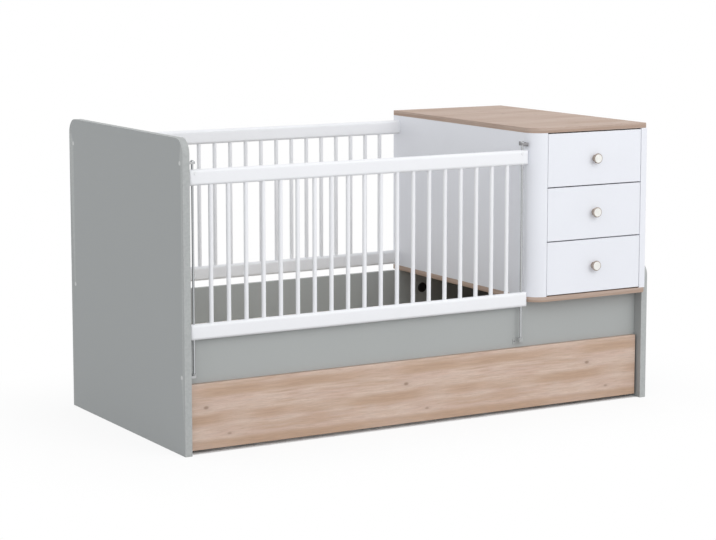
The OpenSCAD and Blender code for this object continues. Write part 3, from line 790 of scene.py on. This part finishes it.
def span(node):
    """A frame part's lowest and highest corners and its middle."""
    low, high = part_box(node)
    return low, high, (low + high) / 2


def front_part(node):
    """The radius, height and foot of a round frame part that points to the front."""
    low, high, middle = span(node)
    return (high.x - low.x) / 2, high.y - low.y, (middle.x, high.y, middle.z)


def rod_places():
    """The two guide rods' places along X, and their place along Y."""
    low, high, middle = span("guide_bushes")
    radius = sizes().bush / 2
    return (low.x + radius, high.x - radius), middle.y


def slat_places():
    """The middles of the slats along X."""
    left = rod_places()[0][0]
    low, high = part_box("guard_slats")
    first, last = low.x + sizes().slat / 2, high.x - sizes().slat / 2
    pitch = first - left
    return [first + i * pitch for i in range(round((last - first) / pitch) + 1)]


# ---- Pieces that several operators make ----

WHITE_BOARD = ("white laminate", "white_board")


def round_rim(radius, tall, soft):
    """The end of a profile, where the rim of the top is rounded."""
    return arc(radius - soft, tall - soft, soft, 0, 90, 5)


def at_rods(name, profile, foot):
    """A piece turned once and copied to both rods."""
    places, y = rod_places()
    return repeat(name, turned(name, profile, (0, y, foot), UP, 40), [(x, 0, 0) for x in places])


# A screw head as shares of its radius: its profile, how deep it is sunk, and its cross recess
SCREW_PROFILE = ((0, 0), (0.9, 0), (1, 0.1), (0.93, 0.28), (0.6, 0.42), (0, 0.46))
SCREW_SUNK = 0.17
RECESS_REACH, RECESS_WALL, RECESS_HEIGHTS = 0.6, 0.11, (0.05, 0.6)
BOX_FACES = ((0, 1, 2, 3), (7, 6, 5, 4), (0, 4, 5, 1), (1, 5, 6, 2), (2, 6, 7, 3), (3, 7, 4, 0))


def screws(name, places, way, body, material="zinc"):
    """Raised wood screws with a cross recess, each sunk a little into the surface at its place."""
    radius = sizes().screw / 2
    way = Vector(way)
    profile = [(radius * r, radius * h) for r, h in SCREW_PROFILE]
    head = turned(name, profile, way * (-SCREW_SUNK * radius), way, 20)
    side = way.orthogonal().normalized()
    for arm in (side, way.cross(side)):
        reach, wall = arm * radius * RECESS_REACH, way.cross(arm) * radius * RECESS_WALL
        corners = [reach + wall, reach - wall, -reach - wall, -reach + wall]
        points = [corner + way * radius * rise for rise in RECESS_HEIGHTS for corner in corners]
        cut = new_piece("recess", points, (), BOX_FACES)
        open_whole(cut)
        bpy.ops.mesh.normals_make_consistent(inside=False)
        close()
        carve(head, cut)
    return dress(smooth(repeat(name, head, places), 30), material, body=body)


def rail(name, node, ends=(), holes=()):
    """A guard rail with rounded long edges, a socket for each slat, rounded ends and extra holes."""
    low, high, middle = span(node)
    piece = rounded_block(name, low, high, X, sizes().rail_round)
    for axis, radius in ends:
        carve(piece, rounded_block("end", low, high, axis, radius), "INTERSECT")
    deep = sizes().socket
    z = low.z if "top" in node else high.z
    radius = sizes().slat / 2 + sizes().fit
    slots = [((x, middle.y, z - deep), (x, middle.y, z + deep), radius) for x in slat_places()]
    return dress(smooth(drill(piece, slots + list(holes))), "white lacquer", node)


def slats(name, node):
    """Round slats with chamfered ends, turned once and copied."""
    low, high, middle = span(node)
    radius, tip, tall = sizes().slat / 2, sizes().slat_tip, high.z - low.z
    profile = [(0, 0), (radius - tip, 0), (radius, tip), (radius, tall / 3), (radius, tall * 2 / 3)]
    profile += [(radius, tall - tip), (radius - tip, tall), (0, tall)]
    one = turned(name, profile, (0, middle.y, low.z), UP, 32)
    piece = repeat(name, one, [(x, 0, 0) for x in slat_places()])
    return dress(smooth(piece), "white lacquer", node)


def bed_slats(name, node):
    """Bed slats with softened edges and a screw at each end of every slat."""
    s = sizes()
    piece = smooth(round_edges(copy_of(node, name), s.thin_edge, 2), 40)
    dress(piece, "pine across", node)
    low, high, _ = span(node)
    pitch = (high.x - low.x - s.bed_slat) / (BED_SLATS - 1)
    middles = [low.x + s.bed_slat / 2 + pitch * i for i in range(BED_SLATS)]
    places = [(x, y, high.z) for x in middles for y in (low.y + s.slat_inset, high.y - s.slat_inset)]
    return screws(name + "_screws", places, UP, body_of(node))


# ---- Operators, one for each piece or group of like pieces ----

class CRIB_OT_grey_boards(bpy.types.Operator):
    """Finishes the end panels and the long side boards."""

    bl_idname = "crib.grey_boards"
    bl_label = "Grey boards"

    def execute(self, context):
        for node in ("left_end_panel", "right_end_panel", "front_side_board", "back_side_board"):
            # The end panels take the darker copy of the grey laminate, which is painted shade
            look = "end panel laminate" if "panel" in node else "grey laminate"
            board_from(node, node + "_laminated", sizes().board_edge, look, "grey_board", banded=30 * MM)
        return {"FINISHED"}


class CRIB_OT_chest_boards(bpy.types.Operator):
    """Finishes the white boards of the changer chest and its rounded corner."""

    bl_idname = "crib.chest_boards"
    bl_label = "Chest boards"

    def execute(self, context):
        for node in ("chest_left_side", "chest_partition", "chest_right_side", "chest_back_panel"):
            board_from(node, node + "_laminated", sizes().board_edge, *WHITE_BOARD)
        board_from("chest_corner_post", "corner_post_laminated", sizes().post_edge, *WHITE_BOARD)
        return {"FINISHED"}


class CRIB_OT_oak_boards(bpy.types.Operator):
    """Finishes the changer top, the board under the chest and the pull-out bed's front."""

    bl_idname = "crib.oak_boards"
    bl_label = "Oak decor boards"

    def execute(self, context):
        edge = sizes().board_edge
        for node in ("changer_top", "chest_platform"):
            piece = board_from(node, node + "_decor", edge, "calm oak decor", "oak_decor")
            band(piece, Z, "oak band around", "oak band around")
        piece = board_from("trundle_front", "trundle_front_decor", edge, "oak decor", "oak_decor")
        band(piece, Y, "oak band along", "oak band upright")
        return {"FINISHED"}


class CRIB_OT_back_guard(bpy.types.Operator):
    """Makes the fixed guard at the back."""

    bl_idname = "crib.back_guard"
    bl_label = "Back guard"

    def execute(self, context):
        for level in LEVELS:
            rail(f"back_{level}_rail", f"back_guard_{level}_rail")
        slats("back_slats", "back_guard_slats")
        return {"FINISHED"}


class CRIB_OT_drop_side(bpy.types.Operator):
    """Makes the guard that slides down its two rods, with its bushes and release buttons."""

    bl_idname = "crib.drop_side"
    bl_label = "Drop side"

    def execute(self, context):
        s = sizes()
        rods, y = rod_places()
        ends = ((Y, s.rail_end), (Z, s.rail_plan))
        buttons = {side: front_part(side + "_release_button") for side in ("left", "right")}
        bushes = []
        for level in LEVELS:
            low, high, _ = span(f"guard_{level}_rail")
            holes = [((x, y, low.z - s.rod), (x, y, high.z + s.rod), s.bush / 2 + s.fit) for x in rods]
            if level == "top":
                wide = s.button / 2 + 6 * s.fit
                for _, _, (x, _, z) in buttons.values():
                    holes.append(((x, low.y - s.rod, z), (x, low.y + s.button_pocket, z), wide))
            rail(f"drop_{level}_rail", f"guard_{level}_rail", ends, holes)
            inner, outer, soft, tall = s.bush_bore / 2, s.bush / 2, 0.4 * MM, high.z - low.z
            profile = [(inner + soft, 0), (outer - soft, 0), (outer, soft), (outer, tall - soft)]
            profile += [(outer - soft, tall), (inner + soft, tall), (inner, tall - soft), (inner, soft)]
            bushes.append(at_rods("bush", profile + profile[:1], low.z))
        slats("drop_slats", "guard_slats")
        dress(smooth(join("drop_side_bushes", bushes)), "nylon", "guide_bushes")
        crown, dish = 0.8 * MM, 0.4 * MM
        for side, (radius, tall, foot) in buttons.items():
            profile = [(0, 0), (radius - dish, 0), (radius, dish), *round_rim(radius, tall, crown)]
            profile += [(radius * 0.55, tall), (radius * 0.45, tall - dish), (0, tall - dish)]
            button = turned(side + "_button", profile, foot, OUT, 40)
            dress(button, "nylon", side + "_release_button")
        return {"FINISHED"}


class CRIB_OT_rods(bpy.types.Operator):
    """Makes the guide rods with their domed heads, brackets, bumpers and screws."""

    bl_idname = "crib.rods"
    bl_label = "Guide rods and brackets"

    def execute(self, context):
        s = sizes()
        low, high, _ = span("guide_rods")
        radius, head = s.rod / 2, s.rod_head / 2
        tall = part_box("left_rod_brackets")[1].z - low.z
        rise = high.z - low.z - tall
        dome = (head * head + rise * rise) / (2 * rise)
        lip = math.degrees(math.asin((dome - rise) / dome))
        profile = [(0, 0), (radius - s.rod_tip, 0), (radius, s.rod_tip), (radius, tall)]
        profile += arc(0, tall + rise - dome, dome, lip, 90, 10)
        dress(smooth(at_rods("rods", profile, low.z), 30), "rod steel", "guide_rods")
        for node, material in (("left_rod_brackets", "zinc"), ("right_upper_bracket", "dark steel")):
            pressed_from(node, node + "_pressed", s.metal_edge, material)
        pressed_from("right_lower_bracket", "lower_bracket_pressed", s.metal_edge, "grey powder coat")
        low, high, _ = span("rod_bumpers")
        outer, inner, tall, soft = (high.y - low.y) / 2, radius, high.z - low.z, 1.2 * MM
        profile = [(inner, 0), (outer, 0), *round_rim(outer, tall, soft)]
        profile += [(inner + soft, tall), (inner, tall - soft), (inner, 0)]
        bumpers = smooth(at_rods("bumpers", profile, low.z))
        dress(bumpers, "grey rubber", "rod_bumpers")
        low, high, _ = span("right_lower_bracket")
        face, z = high.y - s.angle_sheet, high.z - s.angle_drop
        places = [(x, face, z) for x in (low.x + s.angle_screw, high.x - s.angle_screw)]
        screws("bracket_screws", places, OUT, "frame", "dark steel")
        return {"FINISHED"}


class CRIB_OT_drawers(bpy.types.Operator):
    """Finishes the three drawers and their runners."""

    bl_idname = "crib.drawers"
    bl_label = "Drawers"

    def execute(self, context):
        s = sizes()
        for body in DRAWERS:
            board_from(body + "_front", body + "_front_panel", s.front_edge, *WHITE_BOARD)
            board_from(body + "_box", body + "_box_boards", s.thin_edge, *WHITE_BOARD, 2)
            paint(frame["nodes"][body + "_bottom"], "white laminate")
            pressed_from(body + "_runners", body + "_steel_runners", s.sheet_edge, "zinc")
            _, high, middle = span(body + "_front")
            screws(body + "_knob_screw", [(middle.x, high.y, middle.z)], (0, 1, 0), body)
        pressed_from("fixed_runners", "fixed_steel_runners", s.sheet_edge, "zinc")
        return {"FINISHED"}


class CRIB_OT_knobs(bpy.types.Operator):
    """Turns the drawer knobs: a wooden body with a cove, and a white face let into its rim."""

    bl_idname = "crib.knobs"
    bl_label = "Knobs"

    def execute(self, context):
        s = sizes()
        start, dish = 180 + math.degrees(math.asin(s.knob_cove_rise / s.knob_cove)), 0.2 * MM
        for body in DRAWERS:
            radius, tall, foot = front_part(body + "_knob_neck")
            face, face_tall, seat = front_part(body + "_knob_cap")
            profile = [(0, 0), *arc(radius, s.knob_cove_rise, s.knob_cove, start, 90, 14)]
            profile += round_rim(radius, tall, s.knob_rim)
            hollow, deep = face + s.fit, tall - s.knob_recess
            profile += [(hollow, tall), (hollow, deep), (0, deep)]
            neck = turned(body + "_neck", profile, foot, OUT)
            dress(neck, "knob wood", body + "_knob_neck")
            profile = [(0, 0), (face, 0), *round_rim(face, face_tall, s.knob_soft)]
            profile += [(face * 0.7, face_tall - dish / 2), (0, face_tall - dish)]
            cap = turned(body + "_cap", profile, seat, OUT, 56)
            dress(cap, "knob face", body + "_knob_cap")
        return {"FINISHED"}


class CRIB_OT_mattress_base(bpy.types.Operator):
    """Finishes the ledgers and slats under the mattress."""

    bl_idname = "crib.mattress_base"
    bl_label = "Mattress base"

    def execute(self, context):
        board_from("base_ledgers", "base_ledger_battens", sizes().thin_edge, "pine along", "bare_pine", 2)
        bed_slats("base_slat_boards", "base_slats")
        return {"FINISHED"}


class CRIB_OT_pull_out_bed(bpy.types.Operator):
    """Finishes the boards, ledgers and slats of the pull-out bed."""

    bl_idname = "crib.pull_out_bed"
    bl_label = "Pull-out bed"

    def execute(self, context):
        for part, way in (("sides", "across"), ("back", "along"), ("ledgers", "along")):
            node = "trundle_" + part
            board_from(node, node + "_planed", sizes().thin_edge, "pine " + way, "bare_pine", 2)
        bed_slats("trundle_slat_boards", "trundle_slats")
        return {"FINISHED"}


class CRIB_OT_wheels(bpy.types.Operator):
    """Makes the wheels, their forks and their axles."""

    bl_idname = "crib.wheels"
    bl_label = "Wheels"

    def execute(self, context):
        s = sizes()
        pressed_from("wheel_forks", "pressed_forks", s.sheet_edge, "zinc")
        paint(frame["nodes"]["wheel_axles"], "zinc")
        for node in WHEELS:
            low, high, middle = span(node)
            radius, wide, lip = (high.z - low.z) / 2, high.x - low.x, 0.6 * MM
            web = radius - 1.5 * s.tread
            half = [(s.bore, 0), (s.hub - lip, 0), (s.hub, lip), (s.hub + lip / 2, s.dish)]
            half += [(web - lip / 2, s.dish), (web, lip), (web + lip, 0)]
            half += arc(radius - s.tread, s.tread, s.tread, -90, 0, 6)
            profile = half + [(r, wide - h) for r, h in reversed(half)] + half[:1]
            wheel = turned(node + "_moulded", profile, (low.x, middle.y, middle.z), (1, 0, 0), 56)
            dress(wheel, "black plastic", node)
        return {"FINISHED"}


class CRIB_OT_caps(bpy.types.Operator):
    """Finishes the screw caps on the tall end panel and makes the round cover on the back board."""

    bl_idname = "crib.caps"
    bl_label = "Caps and cover"

    def execute(self, context):
        paint(frame["nodes"]["screw_caps"], "cap plastic")
        radius, tall, foot = front_part("cover_cap")
        slope = 2 * MM
        profile = [(0, 0), (radius, 0), (radius, tall * 0.3), (radius - slope / 4, tall * 0.5)]
        profile += [(radius - slope, tall * 0.85), (radius - 1.5 * slope, tall), (radius * 0.62, tall)]
        profile += [(radius * 0.56, tall * 0.8), (0, tall * 0.75)]
        cover = turned("cover_disc", profile, foot, OUT, 56)
        dress(cover, "black plastic", "cover_cap")
        return {"FINISHED"}


# Beside the object the shadow is lifted from this share, over this distance, and fades on from there
LIFT_SHARE, LIFT_REACH, FADE_FROM = 0.1, 0.06, 0.05


class CRIB_OT_studio(bpy.types.Operator):
    """Sets up the floor, the lamps, the background and the camera."""

    bl_idname = "crib.studio"
    bl_label = "Studio"

    def whiten(self, fade, shader, glow, output):
        """Fades the shader to the background's white, and joins the output."""
        white = put(glow, {"Color": WHITE, "Strength": 1.0}, fade.id_data)
        mix = put("MixShader", {0: fade, 1: shader.outputs[0], 2: white.outputs[0]})
        put(output, {"Surface": mix.outputs[0]})
        tidy_nodes(fade.id_data)

    def floor(self, s):
        """A pale floor that keeps the object's shadow and fades to the background's white."""
        deselect_all()
        bpy.ops.mesh.primitive_plane_add(size=60, location=(0, 0, 0))
        floor = bpy.context.object
        floor.name = "studio_floor"
        material = bpy.data.materials.new("studio floor")
        tree = open_tree(material)
        direct = seen_directly(tree)
        spot = parts_of(place_of(tree))
        reach = (CAD_BOX[1][X], CAD_BOX[1][Y] - s.floor_inset)
        out = [
            calc("MAXIMUM", calc("SUBTRACT", calc("ABSOLUTE", spot[axis]), reach[axis]), 0.0)
            for axis in (X, Y)
        ]
        far = distance(*out)
        near = ranged(far, 0.0, LIFT_REACH, LIFT_SHARE, s.floor_white, "SMOOTHSTEP")
        further = ranged(far, FADE_FROM, s.floor_fade, s.floor_white, 1.0, "SMOOTHSTEP")
        fade = times(calc("MAXIMUM", near, further), calc("GREATER_THAN", far, 0.0), direct)
        tint = ranged(direct, 0.0, 1.0, s.floor_bounce, s.floor)
        matt = put("BsdfDiffuse", {"Color": tint})
        self.whiten(fade, matt, "Emission", "OutputMaterial")
        floor.data.materials.append(material)

    def room(self, s):
        """Soft light from all round, with a white background."""
        world = bpy.context.scene.world = bpy.data.worlds.new("studio")
        tree = open_tree(world)
        rise = parts_of(place_of(tree, "Generated"))["Z"]
        power = ranged(rise, 0.0, 1.0, s.room_light, s.room_light * s.overhead)
        soft = put("Background", {"Color": (0.985, 0.99, 1.0, 1.0), "Strength": power})
        self.whiten(seen_directly(tree), soft, "Background", "OutputWorld")

    def lamp(self, s):
        """A large square lamp that faces the object."""
        lamp = bpy.data.lights.new("lamp", "AREA")
        lamp.energy = s.lamp_light
        lamp.shape = "SQUARE"
        lamp.size = s.lamp_size
        holder = add("lamp", lamp)
        holder.location = s.lamp_place
        way = Vector(s.lamp_aim) - Vector(s.lamp_place)
        holder.rotation_euler = way.to_track_quat("-Z", "Y").to_euler()

    def camera(self, s):
        camera = add("camera", bpy.data.cameras.new("camera"))
        camera.location = s.camera_place
        camera.rotation_euler = (math.pi / 2 - s.camera_tilt, 0.0, -s.camera_turn)
        camera.data.lens = s.lens
        camera.data.shift_y = s.shift
        camera.data.clip_end = 200.0
        bpy.context.scene.camera = camera

    def execute(self, context):
        s = context.scene.crib_studio
        context.scene.view_settings.view_transform = "Standard"
        self.floor(s)
        self.room(s)
        self.lamp(s)
        self.camera(s)
        return {"FINISHED"}


OPERATORS = (
    CRIB_OT_studio, CRIB_OT_grey_boards, CRIB_OT_chest_boards, CRIB_OT_oak_boards, CRIB_OT_back_guard,
    CRIB_OT_drop_side, CRIB_OT_rods, CRIB_OT_drawers, CRIB_OT_knobs, CRIB_OT_mattress_base,
    CRIB_OT_pull_out_bed, CRIB_OT_wheels, CRIB_OT_caps,
)


class CRIB_PT_panel(bpy.types.Panel):
    """Lists the crib's groups of pieces, its sizes and its colours."""

    bl_idname = "CRIB_PT_panel"
    bl_label = "Crib"
    bl_space_type = "VIEW_3D"
    bl_region_type = "UI"
    bl_category = "Crib"

    def draw(self, context):
        for operator in OPERATORS:
            self.layout.operator(operator.bl_idname)
        for name, _ in GROUPS:
            box, group = self.layout.box(), getattr(context.scene, name)
            for key in group.bl_rna.properties.keys():
                if key not in ("rna_type", "name"):
                    box.prop(group, key)


GROUPS = (("crib_sizes", CribSizes), ("crib_colours", CribColours), ("crib_studio", CribStudio))


def register():
    for name, group in GROUPS:
        bpy.utils.register_class(group)
        setattr(bpy.types.Scene, name, bpy.props.PointerProperty(type=group))
    for item in (*OPERATORS, CRIB_PT_panel):
        bpy.utils.register_class(item)


def unregister():
    for item in (CRIB_PT_panel, *reversed(OPERATORS)):
        bpy.utils.unregister_class(item)
    for name, group in reversed(GROUPS):
        delattr(bpy.types.Scene, name)
        bpy.utils.unregister_class(group)


def main():
    register()
    bpy.ops.crib.studio()
    bpy.ops.crib.grey_boards()
    bpy.ops.crib.chest_boards()
    bpy.ops.crib.oak_boards()
    bpy.ops.crib.back_guard()
    bpy.ops.crib.drop_side()
    bpy.ops.crib.rods()
    bpy.ops.crib.drawers()
    bpy.ops.crib.knobs()
    bpy.ops.crib.mattress_base()
    bpy.ops.crib.pull_out_bed()
    bpy.ops.crib.wheels()
    bpy.ops.crib.caps()


if __name__ == "__main__":
    main()
